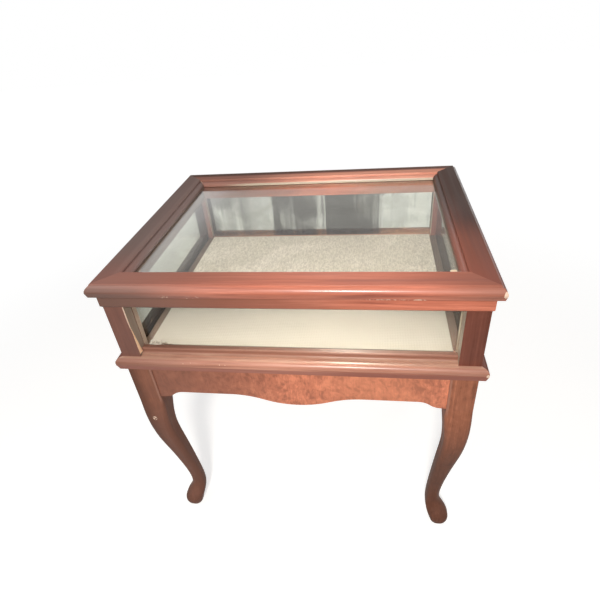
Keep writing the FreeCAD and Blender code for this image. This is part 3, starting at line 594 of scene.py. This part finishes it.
glass = {
    "shadowTint": srgb(240, 241, 238),
    "ior": 1.3,
    "coatIor": 1.75,
    "coatRoughness": 0.02,
    "clouds": ((7, 7, 9), 3.0, 0.55, 0.8),
    "wipes": ((75, 75, 5), 4.0, 0.6, 0.4),
    "film": (0.42, 0.58),
    "rampReach": 0.6,  # metres that the bands may cover
    "waver": 0.12,
    "bandShare": 0.9,
    "blotDrift": 0.12,
    "blotStreak": 0.06,
    "smear": (0.2, 0.6, 0.75, 1.0),
}
# wipe: how far wiping marks break up the haze
# bands: millimetres along the axis, haze; haze and painted reflection
# blots: X from and to, Z from and to, haze; painted reflection
# veil: X from and to of a film that mirrors more
glassKinds = {
    "front": {"label": "front glass", "clear": srgb(250, 250, 247),
              "hazed": srgb(247, 247, 244), "dull": 0.03, "wipe": 0.0},
    "side": {
        "label": "hazed side glass", "clear": srgb(204, 208, 195), "hazed": srgb(108, 104, 96),
        "dull": 0.02, "wipe": 0.12, "axis": "Y",
        "bands": [(-200, 0.95), (-150, 0.7), (-70, 0.25), (40, 0.1), (130, 0.3), (200, 0.8)],
    },
    "back": {
        "label": "streaked back glass", "clear": srgb(226, 229, 218), "hazed": srgb(86, 84, 77),
        "dull": 0.02, "wipe": 0.4, "axis": "X",
        "bands": [
            (-258, 0.8), (-235, 0.35), (-200, 0.42), (-180, 0.66), (-150, 0.3), (-106, 0.14),
            (-97, 0.85), (-8, 0.95), (8, 0.15), (14, 0.75), (21, 0.1), (28, 0.9), (126, 0.95),
            (134, 0.55), (140, 0.9), (153, 0.02), (247, 0.0), (258, 0.7),
        ],
        "blots": [(-0.16, -0.2, 0.505, 0.54, 0.8), (0.205, 0.18, 0.55, 0.565, 0.75)],
    },
    "lid": {"label": "lid glass", "clear": srgb(243, 242, 238), "hazed": srgb(232, 231, 225),
            "dull": 0.0, "wipe": 0.2, "veil": (-0.15, -0.25)},
}


def bandRamp(tree, along, bands):
    place = plus(tree, calc(tree, "DIVIDE", along, glass["rampReach"]), 0.5, True)
    ramp = addNode(tree, "ShaderNodeValToRGB", {"Fac": place})
    points = ramp.color_ramp.elements
    for distance, haze in bands:
        point = points.new(distance * mm / glass["rampReach"] + 0.5)
        point.color = (haze, haze, haze, 1)
    points.remove(points[0])
    points.remove(points[-1])
    return ramp.outputs["Color"]


def makeGlass(label, clear, hazed, dull, wipe, axis="X", bands=None, blots=(), veil=None):
    material, tree, surface, coords = newMaterial(label)
    axes = axesOf(tree, coords)
    clouds = drawnNoise(tree, coords, *glass["clouds"])
    wipes = drawnNoise(tree, coords, *glass["wipes"])
    film = plus(tree, times(tree, clouds, 1 - wipe), times(tree, wipes, wipe))
    mask = spread(tree, film, *glass["film"])
    if bands:
        waver = times(tree, minus(tree, wipes, 0.5), wipe * glass["waver"])
        ramp = bandRamp(tree, plus(tree, axes[axis], waver), bands)
        mask = plus(tree, times(tree, ramp, glass["bandShare"]),
                    times(tree, minus(tree, mask, 0.5), wipe), True)
    for startX, endX, startZ, endZ, haze in blots:
        drift = times(tree, minus(tree, clouds, 0.5), glass["blotDrift"])
        streak = times(tree, minus(tree, wipes, 0.5), glass["blotStreak"])
        across = spread(tree, plus(tree, axes["X"], drift), startX, endX, 0.0, haze)
        upright = spread(tree, plus(tree, axes["Z"], streak), startZ, endZ)
        mask = calc(tree, "MAXIMUM", mask, times(tree, across, upright))
    setSurface(tree, surface, {
        "Base Color": blendColour(tree, mask, clear, hazed),
        "Roughness": times(tree, mask, dull) if dull else 0.0,
        "IOR": glass["ior"], "Transmission Weight": 1.0})
    if veil:
        smear = spread(tree, clouds, *glass["smear"])
        setSurface(tree, surface, {
            "Coat Weight": times(tree, spread(tree, axes["X"], *veil), smear),
            "Coat IOR": glass["coatIor"], "Coat Roughness": glass["coatRoughness"]})
    # lamps reach what is behind the glass
    seeThrough = addNode(tree, "ShaderNodeBsdfTransparent", {"Color": glass["shadowTint"]})
    path = addNode(tree, "ShaderNodeLightPath")
    mix = addNode(tree, "ShaderNodeMixShader", {
        0: path.outputs["Is Shadow Ray"], 1: surface.outputs[0], 2: seeThrough.outputs[0]})
    plug(tree, outputOf(tree), mix.outputs[0])
    return material


brass = {"light": srgb(206, 168, 96), "dark": srgb(140, 104, 56), "tarnish": (180.0, 4.0, 0.6),
         "brushed": ((30, 900, 900), 2.0), "toneSpread": (0.4, 0.7),
         "roughness": (0.3, 0.8, 0.22, 0.5), "bump": 0.08, "bumpDepth": 0.3 * mm}


def makeBrass():
    material, tree, surface, coords = newMaterial("dulled brass")
    tarnish = noise(tree, coords, *brass["tarnish"])
    setSurface(tree, surface, {
        "Base Color": blendColour(tree, spread(tree, tarnish, *brass["toneSpread"]),
                                  brass["light"], brass["dark"]),
        "Metallic": 1.0, "Roughness": spread(tree, tarnish, *brass["roughness"])})
    brushed = drawnNoise(tree, coords, *brass["brushed"])
    emboss(tree, surface, brushed, brass["bump"], brass["bumpDepth"])
    return material


steel = {"light": srgb(190, 190, 188), "dark": srgb(138, 138, 140),
         "spangle": (600.0, 3.0, 0.6), "toneSpread": (0.35, 0.7),
         "roughness": (0.3, 0.7, 0.3, 0.5)}


def makeSteel():
    material, tree, surface, coords = newMaterial("plated steel")
    spangle = noise(tree, coords, *steel["spangle"])
    setSurface(tree, surface, {
        "Base Color": blendColour(tree, spread(tree, spangle, *steel["toneSpread"]),
                                  steel["light"], steel["dark"]),
        "Metallic": 1.0, "Roughness": spread(tree, spangle, *steel["roughness"])})
    return material


felt = {"light": srgb(96, 74, 58), "dark": srgb(58, 44, 36), "fuzz": (900.0, 4.0, 0.7, 0.4),
        "fuzzSpread": (0.3, 0.7), "clouds": (22.0, 3.0), "cloudSpread": (0.45, 0.75),
        "cloudShare": 0.3, "roughness": 0.9, "sheen": 0.25, "sheenRoughness": 0.5,
        "bump": 0.35, "bumpDepth": 0.8 * mm}


def makeFelt():
    material, tree, surface, coords = newMaterial("brown felt")
    fuzz = noise(tree, coords, *felt["fuzz"])
    clouds = spread(tree, noise(tree, coords, *felt["clouds"]), *felt["cloudSpread"])
    colour = blendColour(tree, spread(tree, fuzz, *felt["fuzzSpread"]), felt["dark"],
                         felt["light"])
    colour = blendColour(tree, times(tree, clouds, felt["cloudShare"]), colour, felt["dark"])
    setSurface(tree, surface, {
        "Base Color": colour, "Roughness": felt["roughness"], "Sheen Weight": felt["sheen"],
        "Sheen Roughness": felt["sheenRoughness"]})
    emboss(tree, surface, fuzz, felt["bump"], felt["bumpDepth"])
    return material


woods = {kind: makeWood(**settings) for kind, settings in woodKinds.items()}
glasses = {kind: makeGlass(**settings) for kind, settings in glassKinds.items()}
plainWood = makePlainWood()
brassMaterial = makeBrass()
steelMaterial = makeSteel()
print("materials made")


# what every frame node wears

sides = ("front", "right", "back", "left")
corners = ("front_left", "front_right", "back_right", "back_left")
# woods in the order of the sides
woodsBySide = {
    "lid_rail_": ("rail", "lidSide", "back", "lidSide"),
    "lid_bead_": ("rail", "side", "backLip", "side"),
    "case_rail_": ("caseRail", "side", "backLip", "side"),
    "sill_": ("sill", "side", "sill", "side"),
    "base_rail_": ("base", "side", "base", "side"),
    "apron_": ("apron", "apron", "apron", "apron"),
}


def dress(node, material):
    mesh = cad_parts[node].data
    mesh.materials.clear()
    mesh.materials.append(material)


for prefix, kinds in woodsBySide.items():
    for side, kind in zip(sides, kinds):
        dress(prefix + side, woods[kind])
for side, kind in zip(sides, ("front", "side", "back", "side")):
    dress("pane_" + side, glasses[kind])
for corner in corners:
    dress("post_" + corner, woods["post"])
    dress("leg_" + corner, woods["leg"])
    dress("corner_block_" + corner, plainWood)
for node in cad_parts:
    if node.startswith("hinge_"):
        dress(node, brassMaterial)
dress("floor_panel", plainWood)
dress("lid_glass", glasses["lid"])
dress("base_screws", steelMaterial)
dress("leg_bolts", steelMaterial)
dress("lid_dots", makeFelt())
print("frame nodes dressed")


# helpers for new pieces

def settle(name, scale):
    piece = bpy.context.object
    piece.name = name
    piece.scale = scale
    bpy.ops.object.transform_apply(location=True, rotation=True, scale=True)
    return piece


def applyModifier(piece, name, kind, **settings):
    modifier = piece.modifiers.new(name, kind)
    for setting, value in settings.items():
        setattr(modifier, setting, value)
    bpy.ops.object.modifier_apply(modifier=name)


def finishMesh(piece, smoothBelow, material):
    piece.data.update()
    bpy.ops.object.shade_smooth_by_angle(angle=math.radians(smoothBelow))
    piece.data.materials.append(material)


def clamped(value):
    return max(0.0, min(1.0, value))


# floor lining: a thin board wrapped in cloth, not quite flat, with one corner ruckled up

lining = {
    "light": srgb(238, 230, 216),
    "dark": srgb(190, 181, 167),
    "frontShade": srgb(183, 175, 162),
    # the tone of the painted shadow along the front edge
    "edge": srgb(84, 62, 50),
    "thread": srgb(176, 168, 158),
    "weave": {"Scale": 75.0, "Distortion": 1.5, "Detail": 2.0, "Detail Scale": 2.0},
    "weaveSpread": (0.4, 1.6),
    "weaveShade": 0.2,
    "ruffledFrom": (-0.14, 0.02),
    "ruffle": (0.9, 0.1),
    "tufts": ((280, 105, 200), 3.0, 0.6, 1.2, (0, 0, 0.5)),
    "tuftSpread": (0.56, 0.44),
    "tuftShade": 0.75,
    "drifts": ((60, 40, 60), 3.0, 0.6, 0.8, (0, 0, 0.3)),
    "driftSpread": (0.5, 0.75),
    "stains": (7.0, 4.0, 0.6),
    "stainSpread": (0.5, 0.8),
    "dirtShade": 0.18,
    "frontShadeFrom": (0.04, -0.16),
    "edgeShadow": (-0.1995, -0.2025, 0.0, 0.9),
    "corner": {"Middle": (-0.243, -0.202, 0.466), "Reach": (0.015, 0.008, 0.007),
               "Flake": 300.0, "Fill": 0.75},
    "threadShare": 0.7,
    "roughness": 0.92,
    "sheen": 0.2,
    "relief": (0.15, 1.6),
    "bump": 0.5,
    "bumpDepth": 1.5 * mm,
    "cell": 4 * mm,
    "edgeRound": 1.2 * mm,
    "edgeSteps": 3,
    "topFrom": 0.6,
    "looseFrom": 12 * mm,
    "wave": 0.35 * mm,
    "waves": (24, 34, 0),
    "wavelets": (70, 110, 4),
    "waveletShare": 0.5,
    "ruckInset": 10 * mm,
    "ruckReach": (34 * mm, 15 * mm),
    "ruckEnd": 1.3,
    "ruckHeight": 8.5 * mm,
    "ruckSlip": 2.5 * mm,
    "folds": (0.62, 0.38),
    "foldPitch": 900,
    "foldWander": 2.2,
    "foldWanderPitch": (0, 260, 1),
    "edgeTaper": 4 * mm,
    "smoothBelow": 60,
}


def makeLiningCloth():
    material, tree, surface, coords = newMaterial("cream lining cloth")
    axes = axesOf(tree, coords)
    warp, weft = [addNode(tree, "ShaderNodeTexWave", {"Vector": coords, **lining["weave"]},
                          bands_direction=way).outputs["Fac"] for way in "XY"]
    weave = plus(tree, warp, weft)
    # the pile is ruffled towards the back and pressed smooth in front
    backwards = spread(tree, axes["Y"], *lining["ruffledFrom"])
    most, least = lining["ruffle"]
    tufts = drawnNoise(tree, coords, *lining["tufts"])
    ruffle = times(tree, tufts, plus(tree, times(tree, backwards, most), least))
    woven = times(tree, spread(tree, weave, *lining["weaveSpread"]), lining["weaveShade"])
    colour = blendColour(tree, woven, lining["light"], lining["dark"])
    tufted = times(tree, spread(tree, tufts, *lining["tuftSpread"]),
                   times(tree, backwards, lining["tuftShade"]))
    colour = blendColour(tree, tufted, colour, lining["dark"])
    drifts = spread(tree, drawnNoise(tree, coords, *lining["drifts"]), *lining["driftSpread"])
    stained = spread(tree, noise(tree, coords, *lining["stains"]), *lining["stainSpread"])
    dirt = plus(tree, times(tree, drifts, backwards), stained)
    colour = blendColour(tree, times(tree, dirt, lining["dirtShade"], True), colour,
                         lining["dark"])
    # painted shade greys it towards the front, and a painted shadow darkens its front edge
    frontShade = spread(tree, axes["Y"], *lining["frontShadeFrom"])
    colour = blendColour(tree, frontShade, colour, lining["frontShade"])
    edgeShadow = spread(tree, axes["Y"], *lining["edgeShadow"])
    colour = blendColour(tree, edgeShadow, colour, lining["edge"])
    # the ruckled corner shows the grey backing
    corner = placeGroup(tree, patchGroup, {"Vector": coords, **lining["corner"]})["Mask"]
    colour = blendColour(tree, times(tree, corner, lining["threadShare"]), colour,
                         lining["thread"])
    setSurface(tree, surface, {"Base Color": colour, "Roughness": lining["roughness"],
                               "Sheen Weight": lining["sheen"]})
    fine, coarse = lining["relief"]
    height = plus(tree, times(tree, weave, fine), times(tree, ruffle, coarse))
    emboss(tree, surface, height, lining["bump"], lining["bumpDepth"])
    return material


def rippleAt(point, pitch):
    pitchX, pitchY, layer = pitch
    return ripple.noise(Vector((point.x * pitchX, point.y * pitchY, layer)))


def makeLining():
    low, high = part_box("floor_lining")
    size = high - low
    bpy.ops.object.select_all(action="DESELECT")
    bpy.ops.mesh.primitive_grid_add(
        x_subdivisions=round(size.x / lining["cell"]),
        y_subdivisions=round(size.y / lining["cell"]),
        size=1, location=((low.x + high.x) / 2, (low.y + high.y) / 2, high.z))
    pad = settle("lining_pad", (size.x, size.y, 1))
    applyModifier(pad, "board", "SOLIDIFY", thickness=size.z, offset=-1)
    applyModifier(pad, "rounded edge", "BEVEL", width=lining["edgeRound"],
                  segments=lining["edgeSteps"], limit_method="ANGLE")
    reachX, reachY = lining["ruckReach"]
    flat, deep = lining["folds"]
    for vertex in pad.data.vertices:
        point = vertex.co
        if point.z < low.z + size.z * lining["topFrom"]:
            continue
        rim = min(point.x - low.x, high.x - point.x, point.y - low.y, high.y - point.y)
        loose = min(1.0, rim / lining["looseFrom"])
        wave = (rippleAt(point, lining["waves"])
                + lining["waveletShare"] * rippleAt(point, lining["wavelets"]))
        point.z -= lining["wave"] * loose * (1 - wave)
        # the cloth has come loose at the front left corner and stands up in short folds
        across = 1 - (point.x - low.x - lining["ruckInset"]) / reachX
        inward = 1 - (point.y - low.y) / reachY
        if 0 < across < lining["ruckEnd"] and inward > 0:
            hump = math.sin(min(across, 1.0) * math.pi / 2) * inward * (2 - inward)
            wander = rippleAt(point, lining["foldWanderPitch"])
            folds = flat + deep * math.sin(
                point.x * lining["foldPitch"] + lining["foldWander"] * wander)
            edge = clamped((point.x - low.x) / lining["edgeTaper"])
            point.z += lining["ruckHeight"] * hump * folds * edge
            point.y += lining["ruckSlip"] * hump * folds
    finishMesh(pad, lining["smoothBelow"], makeLiningCloth())
    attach(pad, "case")
    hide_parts("floor_lining")


makeLining()
print("lining made")


# a splinter of bare wood has lifted from the inner edge of the front left post

splinter = {
    "top": 516 * mm,
    "foot": 462.6 * mm,
    "width": 7.5 * mm,
    "thickness": 0.8 * mm,
    "inset": 0.6 * mm,
    "lift": 1.3 * mm,
    "cuts": 11,
    "ragged": 0.14,
    "raggedPitch": 180,
    "raggedLayer": 7,
    "raggedFrom": 0.125,
    "taper": 0.8,
    "tip": 0.03,
    "smoothBelow": 35,
    "bare": srgb(255, 216, 178),
    "vein": srgb(226, 160, 116),
    "fibres": ((700, 700, 30), 4.0, 0.6, 0.3),
    "veinSpread": (0.42, 0.66),
    "roughness": 0.75,
    "bump": 0.5,
    "bumpDepth": 0.6 * mm,
}


def makeSplinterWood():
    material, tree, surface, coords = newMaterial("bare split wood")
    fibres = drawnNoise(tree, coords, *splinter["fibres"])
    colour = blendColour(tree, spread(tree, fibres, *splinter["veinSpread"]),
                         splinter["bare"], splinter["vein"])
    setSurface(tree, surface, {"Base Color": colour, "Roughness": splinter["roughness"]})
    emboss(tree, surface, fibres, splinter["bump"], splinter["bumpDepth"])
    return material


def makeSplinter():
    low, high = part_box("post_front_left")
    front = low.y + splinter["inset"]
    tall = splinter["top"] - splinter["foot"]
    bpy.ops.object.select_all(action="DESELECT")
    bpy.ops.mesh.primitive_cube_add(
        size=1, location=(high.x, front + splinter["width"] / 2, splinter["foot"] + tall / 2))
    piece = settle("post_splinter", (splinter["thickness"], splinter["width"], tall))
    bpy.ops.object.mode_set(mode="EDIT")
    bpy.ops.mesh.select_all(action="SELECT")
    bpy.ops.mesh.subdivide(number_cuts=splinter["cuts"])
    bpy.ops.object.mode_set(mode="OBJECT")
    for vertex in piece.data.vertices:
        point = vertex.co
        up = clamped((point.z - splinter["foot"]) / tall)
        # it narrows upwards to a ragged point, and its foot stands away from the post
        torn = ripple.noise(Vector((
            splinter["raggedLayer"], 0, point.z * splinter["raggedPitch"])))
        ragged = splinter["ragged"] * torn * min(1, up / splinter["raggedFrom"])
        share = (point.y - front) / splinter["width"]
        narrowed = max(splinter["tip"], (1 - up) ** splinter["taper"] + ragged)
        point.y = front + share * splinter["width"] * narrowed
        point.x += splinter["lift"] * (1 - up) ** 2 * share
    finishMesh(piece, splinter["smoothBelow"], makeSplinterWood())
    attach(piece, "case")


makeSplinter()


# a dab of old putty on the lid glass, against the front rail

dab = {
    "place": (245 * mm, -176.5 * mm),
    "size": (9 * mm, 6 * mm, 2.4 * mm),
    "fineness": 4,
    "raised": 0.2 * mm,
    "clearance": 0.02 * mm,
    "lumps": ((0.35, 260), (0.2, 700)),
    "height": (0.8, 0.4),
    "smoothBelow": 50,
    "pale": srgb(240, 224, 196),
    "dirty": srgb(206, 180, 146),
    "crumbs": (900.0, 4.0, 0.6),
    "crumbSpread": (0.4, 0.65),
    "roughness": 0.85,
}


def makePutty():
    material, tree, surface, coords = newMaterial("old putty")
    crumbs = spread(tree, noise(tree, coords, *dab["crumbs"]), *dab["crumbSpread"])
    setSurface(tree, surface, {
        "Base Color": blendColour(tree, crumbs, dab["pale"], dab["dirty"]),
        "Roughness": dab["roughness"]})
    return material


def makePuttyDab():
    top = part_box("lid_glass")[1].z
    bpy.ops.object.select_all(action="DESELECT")
    bpy.ops.mesh.primitive_ico_sphere_add(
        subdivisions=dab["fineness"], radius=0.5,
        location=(*dab["place"], top + dab["raised"]))
    piece = settle("putty_dab", dab["size"])
    # its underside is cut flat, just clear of the glass
    bpy.ops.object.mode_set(mode="EDIT")
    bpy.ops.mesh.select_all(action="SELECT")
    bpy.ops.mesh.bisect(plane_co=(*dab["place"], top + dab["clearance"]), plane_no=(0, 0, 1),
                        clear_inner=True, use_fill=True)
    bpy.ops.object.mode_set(mode="OBJECT")
    middle = Vector((*dab["place"], top))
    low, rise = dab["height"]
    for vertex in piece.data.vertices:
        away = vertex.co - middle
        lump = 1
        for share, pitch in dab["lumps"]:
            lump += share * ripple.noise(vertex.co * pitch)
        vertex.co = middle + Vector((away.x * lump, away.y * lump, away.z * (low + rise * lump)))
    finishMesh(piece, dab["smoothBelow"], makePutty())
    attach(piece, "lid")


makePuttyDab()
print("splinter and putty made")


# floor and backdrop, lamps and camera

stage = {
    "floorSize": 12.0,
    "drop": 0.5 * mm,
    "floor": srgb(208, 207, 205),
    "cloudy": srgb(196, 195, 193),
    "clouds": (3.0, 3.0),
    "cloudShare": 0.1,
    "roughness": 0.9,
    "specular": 0.1,
    "glow": (0.62, 1.0),
    "fade": (0.75, 1.7),
    "white": (1, 1, 1, 1),
    "black": (0, 0, 0, 1),
    "roomLight": (0.3, 1.0),
}


def makeFloor():
    bpy.ops.object.select_all(action="DESELECT")
    bpy.ops.mesh.primitive_plane_add(size=stage["floorSize"], location=(0, 0, -stage["drop"]))
    floor = bpy.context.object
    floor.name = "floor"
    material, tree, surface, coords = newMaterial("pale floor")
    clouds = times(tree, noise(tree, coords, *stage["clouds"]), stage["cloudShare"])
    colour = blendColour(tree, clouds, stage["floor"], stage["cloudy"])
    # away from the table the floor fades into the white backdrop
    away = spread(tree, vectorCalc(tree, "LENGTH", coords)["Value"], *stage["fade"])
    setSurface(tree, surface, {
        "Base Color": blendColour(tree, away, colour, stage["black"]),
        "Roughness": stage["roughness"], "Specular IOR Level": stage["specular"]})
    path = addNode(tree, "ShaderNodeLightPath").outputs
    seen = calc(tree, "MAXIMUM", path["Is Camera Ray"], path["Is Transmission Ray"])
    near, far = stage["glow"]
    strength = addNode(tree, "ShaderNodeMapRange", {"Value": away, "To Min": near, "To Max": far})
    glow = addNode(tree, "ShaderNodeEmission", {
        "Color": stage["white"], "Strength": times(tree, seen, strength.outputs[0])})
    both = addNode(tree, "ShaderNodeAddShader", {0: surface.outputs[0], 1: glow.outputs[0]})
    plug(tree, outputOf(tree), both.outputs[0])
    floor.data.materials.append(material)


# the backdrop is white where it is seen or mirrored, and lights the table less
def makeBackdrop():
    world = bpy.data.worlds.new("studio")
    bpy.context.scene.world = world
    world.use_nodes = True
    tree = world.node_tree
    path = addNode(tree, "ShaderNodeLightPath").outputs
    through = calc(tree, "MAXIMUM", path["Is Glossy Ray"], path["Is Transmission Ray"])
    seen = calc(tree, "MAXIMUM", path["Is Camera Ray"], through)
    background = tree.nodes["Background"]
    plug(tree, background.inputs["Color"], stage["white"])
    plug(tree, background.inputs["Strength"], spread(tree, seen, 0, 1, *stage["roomLight"]))


lamps = [
    # name, place, aims at, size, spread in degrees, watts, colour
    ("key lamp", (0.035, -1.35, 1.42), (0.03, -0.1, 0.45), 0.2, 150, 14, (1.0, 0.97, 0.93)),
    ("high lamp", (0.004, 1.392, 1.936), (0.09, -0.29, 0.457), 0.1, 14, 0.17, (1.0, 0.97, 0.93)),
    ("left fill", (-1.9, -0.4, 1.6), (0.0, 0.0, 0.4), 1.2, 180, 4, (0.97, 0.98, 1.0)),
    ("back fill", (1.3, 2.0, 1.0), (0.0, 0.0, 0.4), 1.0, 180, 6, (1.0, 1.0, 1.0)),
]


def makeLamp(name, place, aim, size, spreadAngle, watts, colour):
    data = bpy.data.lights.new(name, "AREA")
    data.shape = "DISK"
    data.size = size
    data.spread = math.radians(spreadAngle)
    data.energy = watts
    data.color = colour
    lamp = bpy.data.objects.new(name, data)
    bpy.context.collection.objects.link(lamp)
    lamp.location = place
    lamp.rotation_euler = (Vector(aim) - Vector(place)).to_track_quat("-Z", "Y").to_euler()


view = {
    "place": (0.12765, -0.76434, 0.9504),
    "heading": 10.933,
    "tilt": 55.450,
    "roll": -5.778,
    "lens": 27.262,
    "sensor": 36,
}


def makeCamera():
    data = bpy.data.cameras.new("camera")
    data.lens = view["lens"]
    data.sensor_width = view["sensor"]
    camera = bpy.data.objects.new("camera", data)
    bpy.context.collection.objects.link(camera)
    camera.matrix_world = (Matrix.Translation(view["place"])
                           @ Matrix.Rotation(math.radians(view["heading"]), 4, "Z")
                           @ Matrix.Rotation(math.radians(view["tilt"]), 4, "X")
                           @ Matrix.Rotation(math.radians(view["roll"]), 4, "Z"))
    return camera


makeFloor()
makeBackdrop()
for lampSettings in lamps:
    makeLamp(*lampSettings)
bpy.context.scene.camera = makeCamera()
bpy.context.scene.view_settings.view_transform = "Standard"
print("stage, lamps and camera set")
